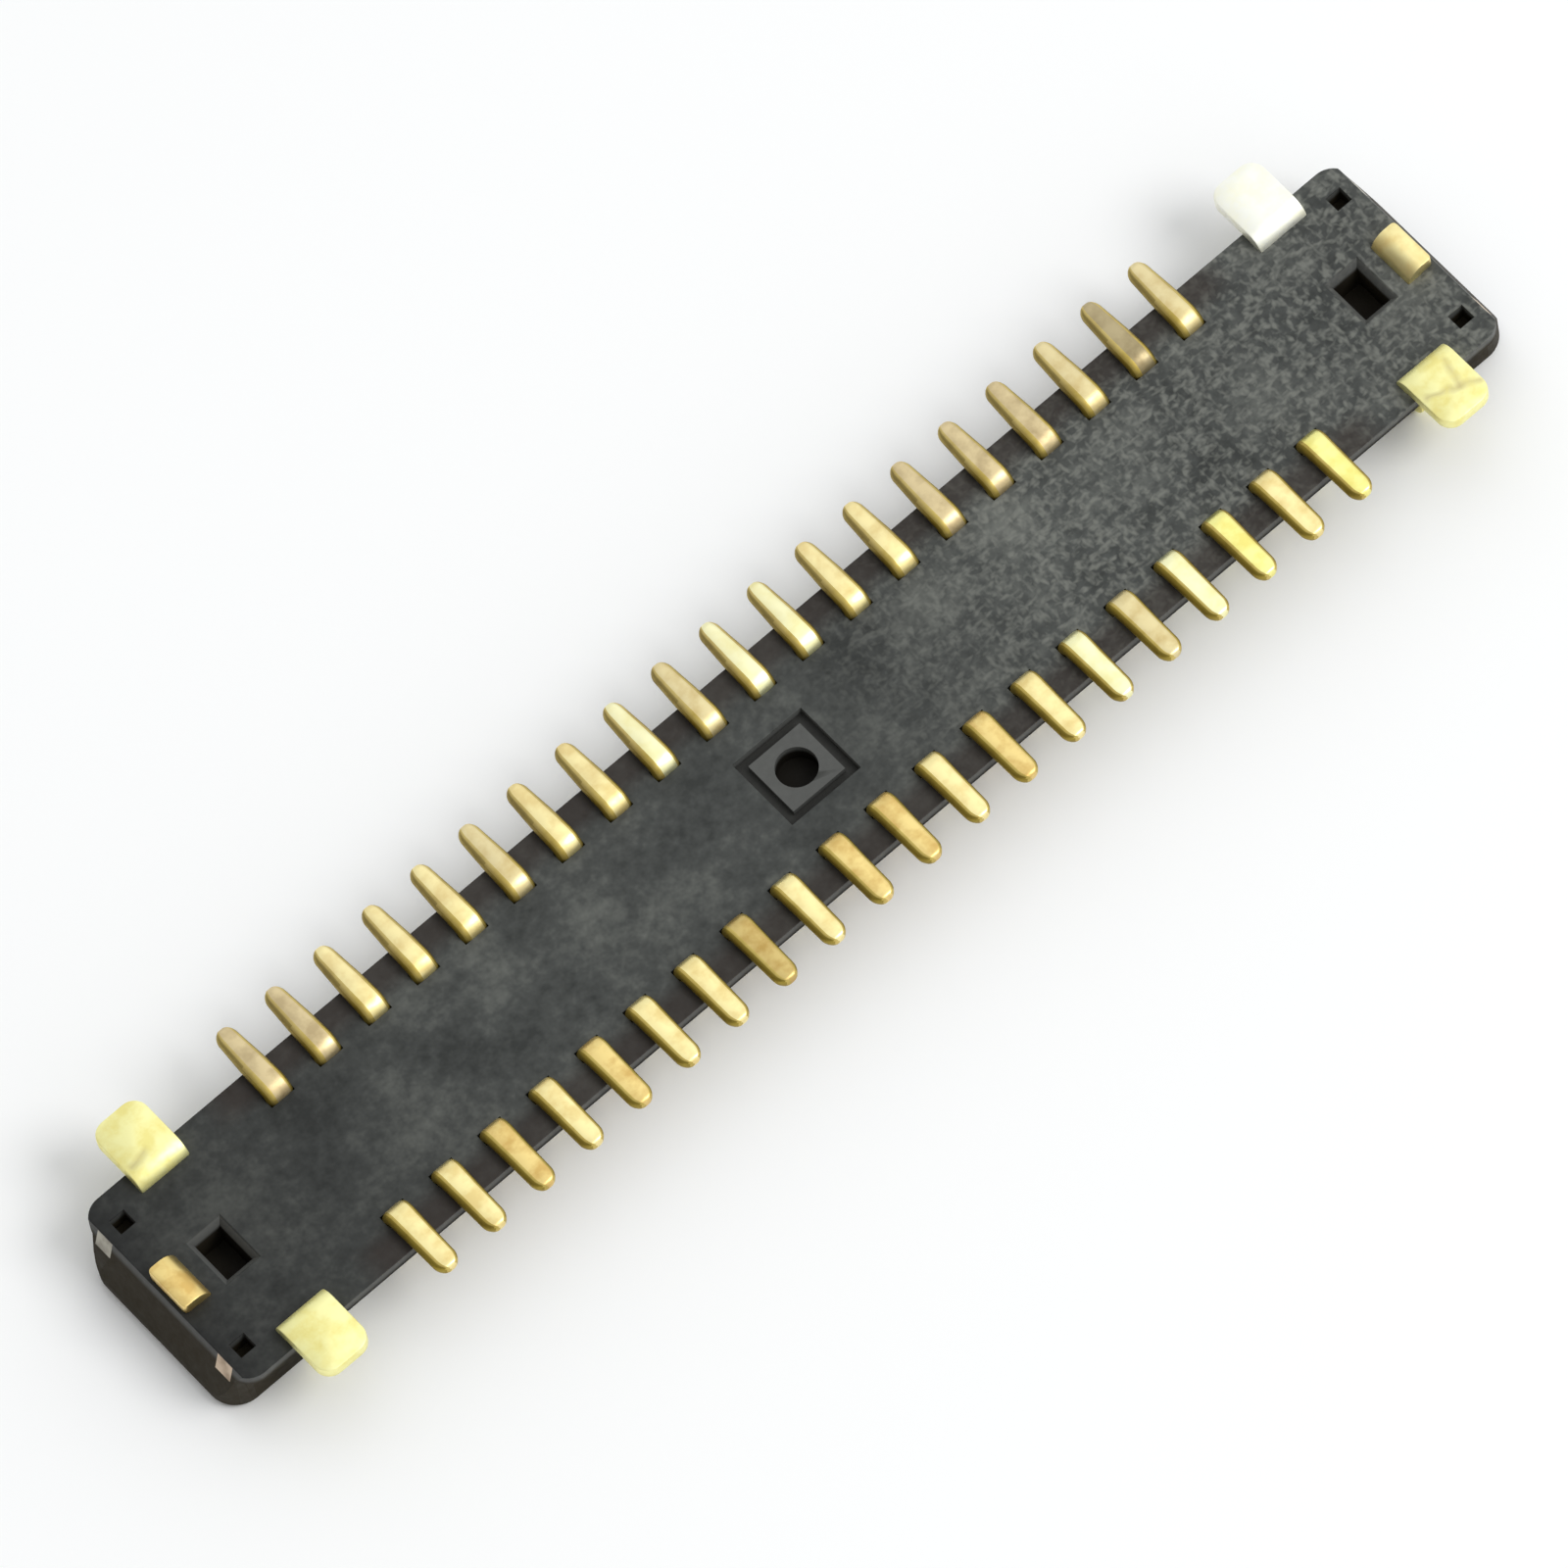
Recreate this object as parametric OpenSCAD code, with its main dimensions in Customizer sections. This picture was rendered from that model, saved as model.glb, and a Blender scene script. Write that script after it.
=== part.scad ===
// Fine-pitch board to board plug, lying on its mating rim with the solder feet up.
// X runs along the rows, Y across them, Z = 0 is the mating rim. Sizes in millimetres.

/* [Contacts] */
// Contacts in each of the two rows
contacts_per_row = 20; // [6:1:28]
// Distance between neighbouring contacts
pitch = 0.40; // [0.34:0.02:0.60]
// Thickness of the contact strip
contact_t = 0.09; // [0.06:0.01:0.11]
// Width of the strip where it wraps the wall
contact_w = 0.19; // [0.14:0.01:0.24]
// Width of the solder foot at its tip
foot_w = 0.18; // [0.10:0.01:0.20]
// Rounding of the foot's two tip corners
foot_tip_r = 0.08; // [0.02:0.005:0.09]
// Distance over the tips of both rows of feet
foot_span = 2.22; // [2.00:0.02:2.80]
// Inside radius of the bend between foot and leg
foot_bend_r = 0.04; // [0.02:0.01:0.06]
// Gap between a foot and the plastic ledge below it
foot_lift = 0.01; // [0:0.01:0.04]
// How far the strip stands proud of the wall that it wraps
contact_proud = 0.02; // [0.01:0.01:0.04]
// Distance of the contacts' turn from the mating rim
contact_setback = 0.03; // [0.01:0.01:0.08]
// Depth of the locking groove across the outer leg
lock_depth = 0.02; // [0.01:0.005:0.03]
// Radius of the locking groove
lock_r = 0.06; // [0.04:0.01:0.08]

/* [Housing] */
// Overall height, mating rim to solder plane
height = 0.62; // [0.60:0.01:0.90]
// Width of the base across the ledges under the feet
base_w = 1.63; // [1.50:0.01:1.90]
// Thickness of the base at the ledges
ledge_t = 0.10; // [0.08:0.01:0.14]
// Distance over the outer faces of the two side walls
wall_span = 1.16; // [1.08:0.01:1.24]
// Thickness of a side wall
wall_t = 0.26; // [0.24:0.01:0.30]
// Thickness of the floor between the walls
floor_t = 0.22; // [0.20:0.01:0.24]
// Gap between a contact's inner tip and the floor
tip_gap = 0.04; // [0.02:0.01:0.10]

/* [Ends] */
// From the centre of the last contact to the end of the housing
end_l = 1.54; // [1.50:0.01:1.80]
// Length of an end block
block_l = 1.16; // [1.08:0.01:1.24]
// Width of the end blocks
block_w = 1.42; // [1.34:0.01:1.46]
// Width of the end blocks between the tabs and the rows
neck_w = 1.28; // [1.22:0.01:1.34]
// Width of the base at the end blocks
end_w = 1.61; // [1.52:0.01:1.80]
// Rounding of the end blocks' four upright corners
corner_r = 0.20; // [0.08:0.01:0.24]
// Rounding of the base's four corners
base_r = 0.16; // [0.08:0.01:0.22]
// Chamfer round the mating rim
rim_chamfer = 0.05; // [0.03:0.01:0.07]
// How far each end slopes in towards the base
slope_l = 0.13; // [0.08:0.01:0.14]
// Height of the slope at each end
slope_h = 0.40; // [0.36:0.01:0.42]

/* [Openings] */
// Length of the window at each end, along the rows
window_l = 0.21; // [0.16:0.01:0.26]
// Width of the window at each end
window_w = 0.32; // [0.24:0.01:0.44]
// From the end of the housing to the centre of the window
window_from_end = 0.60; // [0.58:0.01:0.64]
// Chamfer round the upper edge of the window
window_chamfer = 0.04; // [0.02:0.01:0.06]
// Depth of the window below the base
window_depth = 0.28; // [0.20:0.01:0.30]
// Depth of the pocket on the mating side of each end
pocket_depth = 0.16; // [0.12:0.01:0.18]
// Width of the pocket on the mating side of each end
pocket_w = 0.60; // [0.50:0.01:0.70]
// Side of the square gate recess in the middle
gate_side = 0.57; // [0.50:0.01:0.66]
// Width of the groove round the gate's pad
gate_groove_w = 0.07; // [0.04:0.01:0.08]
// Depth of the groove round the gate's pad
gate_groove_depth = 0.07; // [0.04:0.01:0.10]
// How far the gate's pad lies below the base
gate_pad_drop = 0.015; // [0.005:0.005:0.03]
// Diameter of the round hole in the gate's pad
gate_hole_d = 0.28; // [0.20:0.01:0.32]
// Depth of the round hole below the base
gate_hole_depth = 0.17; // [0.12:0.01:0.17]
// Side of the square holes near the four corners
corner_hole_side = 0.12; // [0.08:0.01:0.13]
// Depth of the holes near the four corners
corner_hole_depth = 0.16; // [0.10:0.01:0.18]
// From the end of the housing to the centre of a corner hole
corner_hole_from_end = 0.27; // [0.26:0.005:0.29]
// Distance between the corner holes, across the rows
corner_hole_span = 1.15; // [1.08:0.01:1.18]

/* [End fittings] */
// Thickness of the fittings' sheet
sheet_t = 0.10; // [0.08:0.01:0.11]
// Inside radius of the fittings' bends
sheet_bend_r = 0.03; // [0.02:0.01:0.05]
// Width of a solder tab
tab_w = 0.39; // [0.32:0.01:0.44]
// Width of a side leg below the base
leg_w = 0.20; // [0.16:0.01:0.28]
// Distance over the tips of the two solder tabs
tab_span = 2.28; // [2.00:0.02:2.80]
// Rounding of a tab's two tip corners
tab_tip_r = 0.11; // [0.05:0.01:0.15]
// From the end of the housing to the centre of the tabs
tab_from_end = 0.68; // [0.66:0.01:0.70]
// Distance over the outer faces of the two side legs
leg_span = 1.46; // [1.42:0.01:1.50]
// Length of the frame on the mating face
frame_l = 0.72; // [0.68:0.01:0.76]
// Width of the frame's border round the pocket
frame_border = 0.08; // [0.06:0.01:0.10]
// From the sides of the end block to the sides of the frame
frame_inset = 0.11; // [0.06:0.01:0.12]
// Plastic between the end leg and the end of the housing
end_wall_t = 0.26; // [0.24:0.01:0.28]
// Width of the solder stub at the end
stub_w = 0.36; // [0.24:0.02:0.44]
// From the end of the housing to the tip of the stub
stub_inset = 0.15; // [0.14:0.01:0.18]
// Width of an anchoring ear, across the rows
ear_w = 0.14; // [0.10:0.01:0.16]
// Height of an ear's root above the mating rim
ear_root_z = 0.20; // [0.16:0.01:0.24]
// How far an ear's raised tip stays below the base
ear_tip_drop = 0.01; // [0.005:0.005:0.03]
// Height of the ear's end that shows on the slope
ear_show_h = 0.14; // [0.10:0.01:0.16]
// Plastic between a corner hole and the ear's raised tip
ear_side_gap = 0.02; // [0.01:0.005:0.03]
// Plastic between a corner hole's floor and the ear's root
ear_floor_gap = 0.03; // [0.01:0.01:0.06]

/* [Hidden] */
$fn = 28;
spill = 0.2;
max_round = 0.49;

row_half = (contacts_per_row - 1) * pitch / 2;
x_end = row_half + end_l;
x_block = x_end - block_l;
x_ledge = x_end - slope_l * (1 - ledge_t / slope_h);
z_base = height - contact_t - foot_lift;
z_ledge = z_base - ledge_t;
z_floor = z_base - floor_t;

wall_y = wall_span / 2;
turn_r = wall_t / 2 + contact_proud;
turn_y = wall_y - wall_t / 2;
turn_z = contact_setback + turn_r;
leg_y = wall_y + contact_proud;
foot_bend_z = height - contact_t - foot_bend_r;
lock_z = (turn_z + z_ledge) / 2;

tab_x = x_end - tab_from_end;
window_x = x_end - window_from_end;
corner_hole_x = x_end - corner_hole_from_end;
end_leg_x = x_end - end_wall_t;
sheet_turn_r = sheet_bend_r + sheet_t;
side_leg_y = leg_span / 2;
frame_y = block_w / 2 - frame_inset;
frame_x = end_leg_x - frame_l;
pocket_x0 = frame_x + frame_border;
pocket_x1 = end_leg_x - sheet_turn_r - frame_border;
ear_y = corner_hole_span / 2;
ear_tip_z = z_base - ear_tip_drop;
ear_step_x = corner_hole_x + corner_hole_side / 2 + ear_side_gap;
ear_low_z = z_base - corner_hole_depth - ear_floor_gap;

plastic = [0.17, 0.17, 0.17];
gold = [0.86, 0.76, 0.48];

function label(row, i) = str("contact_", row, i < 10 ? "0" : "", i);
function contact_x(i) = (i - 1) * pitch - row_half;

// Stands a profile drawn in Y and Z along X, centred on X = 0
module along_x(l) {
    rotate([90, 0, 90]) linear_extrude(l, center = true) children();
}

// Stands a profile drawn in X and Z along Y, centred on Y = 0
module along_y(l) {
    rotate([90, 0, 0]) linear_extrude(l, center = true) children();
}

// One quarter of a ring about the origin, in the quadrant of the two signs
module quarter_ring(r_in, t, sign_x, sign_y) {
    r = r_in + t;
    intersection() {
        difference() {
            circle(r);
            circle(r_in);
        }
        translate([sign_x < 0 ? -r : 0, sign_y < 0 ? -r : 0]) square(r);
    }
}

module round_rect(l, w, r) {
    square([l - 2 * r, w], center = true);
    square([l, w - 2 * r], center = true);
    for (sx = [-1, 1], sy = [-1, 1])
        translate([sx * (l / 2 - r), sy * (w / 2 - r)]) circle(r);
}

// A tongue from y0 to its tip, narrowing from w0 to w1, with round tip corners
module tongue(w0, w1, y0, y_tip, r) {
    tip_r = min(r, max_round * w1);
    polygon([[-w0 / 2, y0], [w0 / 2, y0], [w1 / 2, y_tip - tip_r], [-w1 / 2, y_tip - tip_r]]);
    translate([tip_r - w1 / 2, y_tip - 2 * tip_r]) square([w1 - 2 * tip_r, 2 * tip_r]);
    for (side = [-1, 1])
        translate([side * (w1 / 2 - tip_r), y_tip - tip_r]) circle(tip_r);
}

// The bent strip seen along the row: foot, bend, outer leg, turn, inner leg
module strip_profile() {
    difference() {
        union() {
            translate([leg_y + foot_bend_r, height - contact_t])
                square([foot_span / 2 - leg_y - foot_bend_r, contact_t]);
            translate([leg_y + foot_bend_r, foot_bend_z])
                quarter_ring(foot_bend_r, contact_t, -1, 1);
            translate([leg_y - contact_t, turn_z]) square([contact_t, foot_bend_z - turn_z]);
            translate([turn_y, turn_z]) {
                quarter_ring(turn_r - contact_t, contact_t, 1, -1);
                quarter_ring(turn_r - contact_t, contact_t, -1, -1);
            }
            translate([turn_y - turn_r, turn_z]) square([contact_t, z_floor - tip_gap - turn_z]);
        }
        translate([leg_y + lock_r - lock_depth, lock_z]) circle(lock_r);
    }
}

// One contact of the +Y row, at X = 0
module strip() {
    intersection() {
        along_x(contact_w) strip_profile();
        linear_extrude(height + spill) {
            translate([-contact_w / 2, 0]) square([contact_w, leg_y + foot_bend_r]);
            tongue(contact_w, foot_w, leg_y + foot_bend_r, foot_span / 2, foot_tip_r);
        }
    }
}

module contact(row, i) {
    color(gold) translate([contact_x(i), 0, 0]) mirror([0, row == "b" ? 1 : 0, 0]) strip();
}

// A leg with its outward foot, seen from the side: up from the frame, out to reach
module folded_leg(leg_out, reach, top) {
    translate([leg_out - sheet_turn_r, sheet_turn_r]) quarter_ring(sheet_bend_r, sheet_t, 1, -1);
    translate([leg_out - sheet_t, sheet_turn_r]) square([sheet_t, top - 2 * sheet_turn_r]);
    translate([leg_out + sheet_bend_r, top - sheet_turn_r]) quarter_ring(sheet_bend_r, sheet_t, -1, 1);
    translate([leg_out + sheet_bend_r, top - sheet_t])
        square([reach - leg_out - sheet_bend_r, sheet_t]);
}

// The ear seen across the rows: a low root, then a raised tip cut flush with the end's slope
module ear_profile() {
    slope = slope_l / slope_h;
    x_tip_top = x_end - slope_l + slope * ear_tip_drop;
    x_tip_low = x_tip_top + slope * ear_show_h;
    polygon([
        [end_leg_x - sheet_t, ear_root_z], [ear_step_x, ear_root_z],
        [x_tip_low, ear_tip_z - ear_show_h], [x_tip_top, ear_tip_z],
        [ear_step_x, ear_tip_z], [ear_step_x, ear_low_z], [end_leg_x - sheet_t, ear_low_z]
    ]);
}

// One folded hold-down at the +X end
module fitting() {
    difference() {
        translate([frame_x, -frame_y, 0]) cube([frame_l - sheet_turn_r, 2 * frame_y, sheet_t]);
        translate([pocket_x0, -pocket_w / 2, -spill])
            cube([pocket_x1 - pocket_x0, pocket_w, sheet_t + 2 * spill]);
    }
    for (side = [0, 1]) mirror([0, side, 0]) {
        translate([tab_x, 0, 0]) {
            intersection() {
                along_x(tab_w) folded_leg(side_leg_y, tab_span / 2, height);
                union() {
                    translate([-leg_w / 2, 0, 0]) cube([leg_w, side_leg_y, height - sheet_turn_r]);
                    translate([0, 0, z_ledge]) linear_extrude(height)
                        tongue(tab_w, tab_w, 0, tab_span / 2, tab_tip_r);
                }
            }
            translate([-leg_w / 2, pocket_w / 2, 0])
                cube([leg_w, side_leg_y - sheet_turn_r - pocket_w / 2, sheet_t]);
        }
        translate([0, ear_y, 0]) along_y(ear_w) ear_profile();
    }
    along_y(stub_w) folded_leg(end_leg_x, x_end - stub_inset, height);
    along_y(2 * frame_y)
        translate([end_leg_x - sheet_turn_r, sheet_turn_r]) quarter_ring(sheet_bend_r, sheet_t, 1, -1);
    along_y(2 * ear_y + ear_w)
        translate([end_leg_x - sheet_t, sheet_turn_r]) square([sheet_t, ear_low_z - sheet_turn_r]);
}

module end_fitting(end) {
    color(gold) mirror([end == "left" ? 1 : 0, 0, 0]) fitting();
}

// Section of the housing between its end blocks: base, floor and two round-rimmed walls
module row_section() {
    translate([-base_w / 2, z_ledge]) square([base_w, ledge_t]);
    translate([-wall_y, z_floor]) square([wall_span, floor_t]);
    for (side = [-1, 1]) {
        translate([side * turn_y - wall_t / 2, turn_z]) square([wall_t, z_floor - turn_z]);
        translate([side * turn_y, turn_z]) circle(wall_t / 2);
    }
}

// A block with round upright corners and a chamfer round its lower rim
module rim_block(l, w, h, r, c) {
    translate([0, 0, c]) linear_extrude(h - c) round_rect(l, w, r);
    along_x(l - 2 * r) polygon([[c - w / 2, 0], [w / 2 - c, 0], [w / 2, c], [-w / 2, c]]);
    along_y(w - 2 * r) polygon([[c - l / 2, 0], [l / 2 - c, 0], [l / 2, c], [-l / 2, c]]);
    for (sx = [-1, 1], sy = [-1, 1])
        translate([sx * (l / 2 - r), sy * (w / 2 - r), 0]) cylinder(c, r - c, r);
}

module body() {
    difference() {
        rim_block(2 * x_end, block_w, z_base, corner_r, rim_chamfer);
        translate([-x_block, -block_w, -spill]) cube([2 * x_block, 2 * block_w, height]);
        for (side = [0, 1]) mirror([0, side, 0])
            translate([-tab_x, neck_w / 2, -spill]) cube([2 * tab_x, block_w, height]);
    }
    along_x(2 * x_block) row_section();
    translate([0, 0, z_ledge]) linear_extrude(ledge_t) {
        square([2 * tab_x, base_w], center = true);
        round_rect(2 * x_ledge, end_w, base_r);
    }
}

// What the slope takes off the +X end
module end_slope() {
    x_top = x_end - slope_l;
    along_y(end_w + spill) polygon([
        [x_end, z_base - slope_h], [x_end + spill, z_base - slope_h],
        [x_end + spill, height], [x_top, height], [x_top, z_base]
    ]);
}

// Section of the window: straight, then widening by the chamfer up to the base
module flared(half) {
    c = window_chamfer;
    z = z_base - window_depth;
    polygon([
        [-half, z], [half, z], [half, z_base - c], [half + c, z_base],
        [half + c, height], [-half - c, height], [-half - c, z_base], [-half, z_base - c]
    ]);
}

// Pocket, window and corner holes of the +X end
module end_openings() {
    translate([pocket_x0, -pocket_w / 2, -spill])
        cube([pocket_x1 - pocket_x0, pocket_w, pocket_depth + spill]);
    translate([window_x, 0, 0]) intersection() {
        along_y(window_w + 2 * window_chamfer) flared(window_l / 2);
        along_x(window_l + 2 * window_chamfer) flared(window_w / 2);
    }
    for (side = [-1, 1])
        translate([corner_hole_x, side * ear_y, height + z_base - corner_hole_depth])
            cube([corner_hole_side, corner_hole_side, 2 * height], center = true);
}

// Square groove, sunk pad and round hole in the middle of the base
module gate_recess() {
    pad_side = gate_side - 2 * gate_groove_w;
    translate([0, 0, z_base - gate_pad_drop]) linear_extrude(height) square(gate_side, center = true);
    translate([0, 0, z_base - gate_groove_depth]) linear_extrude(height) difference() {
        square(gate_side, center = true);
        square(pad_side, center = true);
    }
    translate([0, 0, z_base - gate_hole_depth]) cylinder(height, d = gate_hole_d);
}

module housing() {
    color(plastic) difference() {
        body();
        gate_recess();
        for (end = [0, 1]) mirror([end, 0, 0]) {
            end_slope();
            end_openings();
            fitting();
        }
        for (row = [0, 1], i = [1 : contacts_per_row])
            translate([contact_x(i), 0, 0]) mirror([0, row, 0]) strip();
    }
}

housing();
for (end = ["left", "right"])
    end_fitting(end);
for (row = ["a", "b"], i = [1 : contacts_per_row])
    contact(row, i);
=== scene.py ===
import math
import bmesh
import bpy
from mathutils import Matrix, Vector


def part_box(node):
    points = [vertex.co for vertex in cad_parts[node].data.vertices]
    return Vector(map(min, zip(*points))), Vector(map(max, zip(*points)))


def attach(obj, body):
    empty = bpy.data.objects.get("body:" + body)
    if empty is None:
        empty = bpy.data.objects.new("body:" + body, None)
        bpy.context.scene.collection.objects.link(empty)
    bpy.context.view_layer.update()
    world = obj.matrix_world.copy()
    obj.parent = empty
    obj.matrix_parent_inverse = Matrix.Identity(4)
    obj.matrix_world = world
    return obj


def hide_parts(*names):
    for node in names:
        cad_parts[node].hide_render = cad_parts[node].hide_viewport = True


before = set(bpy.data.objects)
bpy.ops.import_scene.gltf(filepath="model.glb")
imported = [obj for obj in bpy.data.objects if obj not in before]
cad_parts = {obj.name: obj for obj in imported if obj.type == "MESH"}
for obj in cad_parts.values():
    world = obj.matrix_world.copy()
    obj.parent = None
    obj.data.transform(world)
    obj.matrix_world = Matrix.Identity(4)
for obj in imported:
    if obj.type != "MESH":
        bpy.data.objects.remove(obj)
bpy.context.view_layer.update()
print("frame loaded with", len(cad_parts), "nodes")

milli = 0.001  # pieces are shaped in millimetres and brought to metres at the end
touch = 1e-4   # points nearer than this, in millimetres, count as one place
axisX, axisY, axisZ = range(3)
rows = ("a", "b")
ends = ("left", "right")
noiseSpan = (0.3, 0.7)  # most of a noise lies between these


def nodeBox(node):
    low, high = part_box(node)
    return low / milli, high / milli


# small modelling steps that several pieces share

def dropInner(bm, face):
    if face.is_valid and any(len(e.link_faces) > 2 for e in face.edges):
        bmesh.ops.delete(bm, geom=[face], context="FACES_ONLY")


def carryFace(bm, face, move):
    grown = bmesh.ops.extrude_face_region(bm, geom=[face])["geom"]
    end = next(part for part in grown if isinstance(part, bmesh.types.BMFace))
    bmesh.ops.translate(bm, vec=move, verts=list(end.verts))
    dropInner(bm, face)
    return end


def turnFace(bm, face, centre, axis, degrees, steps):
    spun = bmesh.ops.spin(
        bm, geom=[face, *face.edges, *face.verts], cent=centre, axis=axis,
        angle=math.radians(degrees), steps=steps)
    dropInner(bm, face)
    return next(part for part in spun["geom_last"] if isinstance(part, bmesh.types.BMFace))


def carryEdges(bm, edges, move):
    grown = bmesh.ops.extrude_edge_only(bm, edges=edges)["geom"]
    bmesh.ops.translate(bm, vec=move, verts=[v for v in grown if isinstance(v, bmesh.types.BMVert)])
    return [e for e in grown if isinstance(e, bmesh.types.BMEdge)]


def turnEdges(bm, edges, centre, axis, degrees, steps):
    points = {v for e in edges for v in e.verts}
    spun = bmesh.ops.spin(
        bm, geom=[*edges, *points], cent=centre, axis=axis, angle=math.radians(degrees), steps=steps)
    return [e for e in spun["geom_last"] if isinstance(e, bmesh.types.BMEdge)]


def roundEdges(bm, edges, radius, segments):
    bmesh.ops.bevel(
        bm, geom=edges, offset=radius, offset_type="OFFSET", affect="EDGES", segments=segments,
        profile=0.5, material=-1, clamp_overlap=True)


def roundCorners(bm, edges, radius, segments):
    corners = list({v for e in edges for v in e.verts})
    bmesh.ops.bevel(
        bm, geom=corners, offset=radius, offset_type="OFFSET", affect="VERTICES", segments=segments,
        profile=0.5, material=-1)


def sharpEdges(bm, degrees):
    limit = math.radians(degrees)
    return [e for e in bm.edges if e.is_manifold and e.calc_face_angle() > limit]


def middle(edge):
    return (edge.verts[0].co + edge.verts[1].co) / 2


def setPiece(bm, name, materials, node, smoothBelow):
    bmesh.ops.scale(bm, vec=(milli, milli, milli), verts=bm.verts[:])
    mesh = bpy.data.meshes.new(name)
    bm.to_mesh(mesh)
    bm.free()
    mesh.shade_smooth()
    mesh.set_sharp_from_angle(angle=math.radians(smoothBelow))
    for material in materials:
        mesh.materials.append(material)
    piece = bpy.data.objects.new(name, mesh)
    bpy.context.scene.collection.objects.link(piece)
    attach(piece, "root")
    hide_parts(node)
    return piece


# node helpers for the finishes

def newFinish(name):
    material = bpy.data.materials.new(name)
    material.use_nodes = True
    tree = material.node_tree
    return material, tree, tree.nodes["Principled BSDF"]


def objectPoint(tree, scale=(1, 1, 1)):
    place = tree.nodes.new("ShaderNodeTexCoord")
    mapping = tree.nodes.new("ShaderNodeMapping")
    mapping.inputs["Scale"].default_value = scale
    tree.links.new(place.outputs["Object"], mapping.inputs["Vector"])
    return mapping.outputs["Vector"]


def splitPoint(tree, point):
    node = tree.nodes.new("ShaderNodeSeparateXYZ")
    tree.links.new(point, node.inputs["Vector"])
    return [node.outputs[axis] for axis in "XYZ"]


def noise(tree, point, size, detail, roughness=0.5):
    node = tree.nodes.new("ShaderNodeTexNoise")
    node.inputs["Scale"].default_value = 1 / (size * milli)
    node.inputs["Detail"].default_value = detail
    node.inputs["Roughness"].default_value = roughness
    tree.links.new(point, node.inputs["Vector"])
    return node.outputs["Fac"]


def ramp(tree, factor, stops):
    node = tree.nodes.new("ShaderNodeValToRGB")
    node.color_ramp.elements[0].position = stops[0][0]
    node.color_ramp.elements[0].color = (*stops[0][1], 1)
    node.color_ramp.elements[1].position = stops[-1][0]
    node.color_ramp.elements[1].color = (*stops[-1][1], 1)
    for position, colour in stops[1:-1]:
        node.color_ramp.elements.new(position).color = (*colour, 1)
    tree.links.new(factor, node.inputs["Fac"])
    return node.outputs["Color"]


def spread(tree, factor, fromLow, fromHigh, toLow, toHigh):
    node = tree.nodes.new("ShaderNodeMapRange")
    limits = {"From Min": fromLow, "From Max": fromHigh, "To Min": toLow, "To Max": toHigh}
    for socket, value in limits.items():
        node.inputs[socket].default_value = value
    tree.links.new(factor, node.inputs["Value"])
    return node.outputs["Result"]


def mathNode(tree, operation, first, second):
    node = tree.nodes.new("ShaderNodeMath")
    node.operation = operation
    for socket, value in zip(node.inputs, (first, second)):
        if isinstance(value, (int, float)):
            socket.default_value = value
        else:
            tree.links.new(value, socket)
    return node.outputs["Value"]


def weigh(tree, first, second, firstShare, secondShare):
    return mathNode(tree, "ADD", mathNode(tree, "MULTIPLY", first, firstShare),
                    mathNode(tree, "MULTIPLY", second, secondShare))


def mixColour(tree, factor, first, second, blend="MIX"):
    node = tree.nodes.new("ShaderNodeMix")
    node.data_type = "RGBA"
    node.blend_type = blend
    sockets = [s for s in node.inputs if s.enabled]
    for socket, value in zip(sockets, (factor, first, second)):
        if isinstance(value, (int, float)):
            socket.default_value = value
        elif isinstance(value, tuple):
            socket.default_value = (*value, 1)
        else:
            tree.links.new(value, socket)
    return next(s for s in node.outputs if s.enabled)


def bump(tree, shader, height, depth):
    node = tree.nodes.new("ShaderNodeBump")
    node.inputs["Strength"].default_value = 1.0
    node.inputs["Distance"].default_value = depth * milli
    tree.links.new(height, node.inputs["Height"])
    tree.links.new(node.outputs["Normal"], shader.inputs["Normal"])


# gold plating: lots of plating, painted half shade on the strips' shoulders and painted shade on their
# sides, a near-white lot painted as a highlight on one tab, the cut ends of the ears, and the marks on two
# of the tabs

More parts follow.
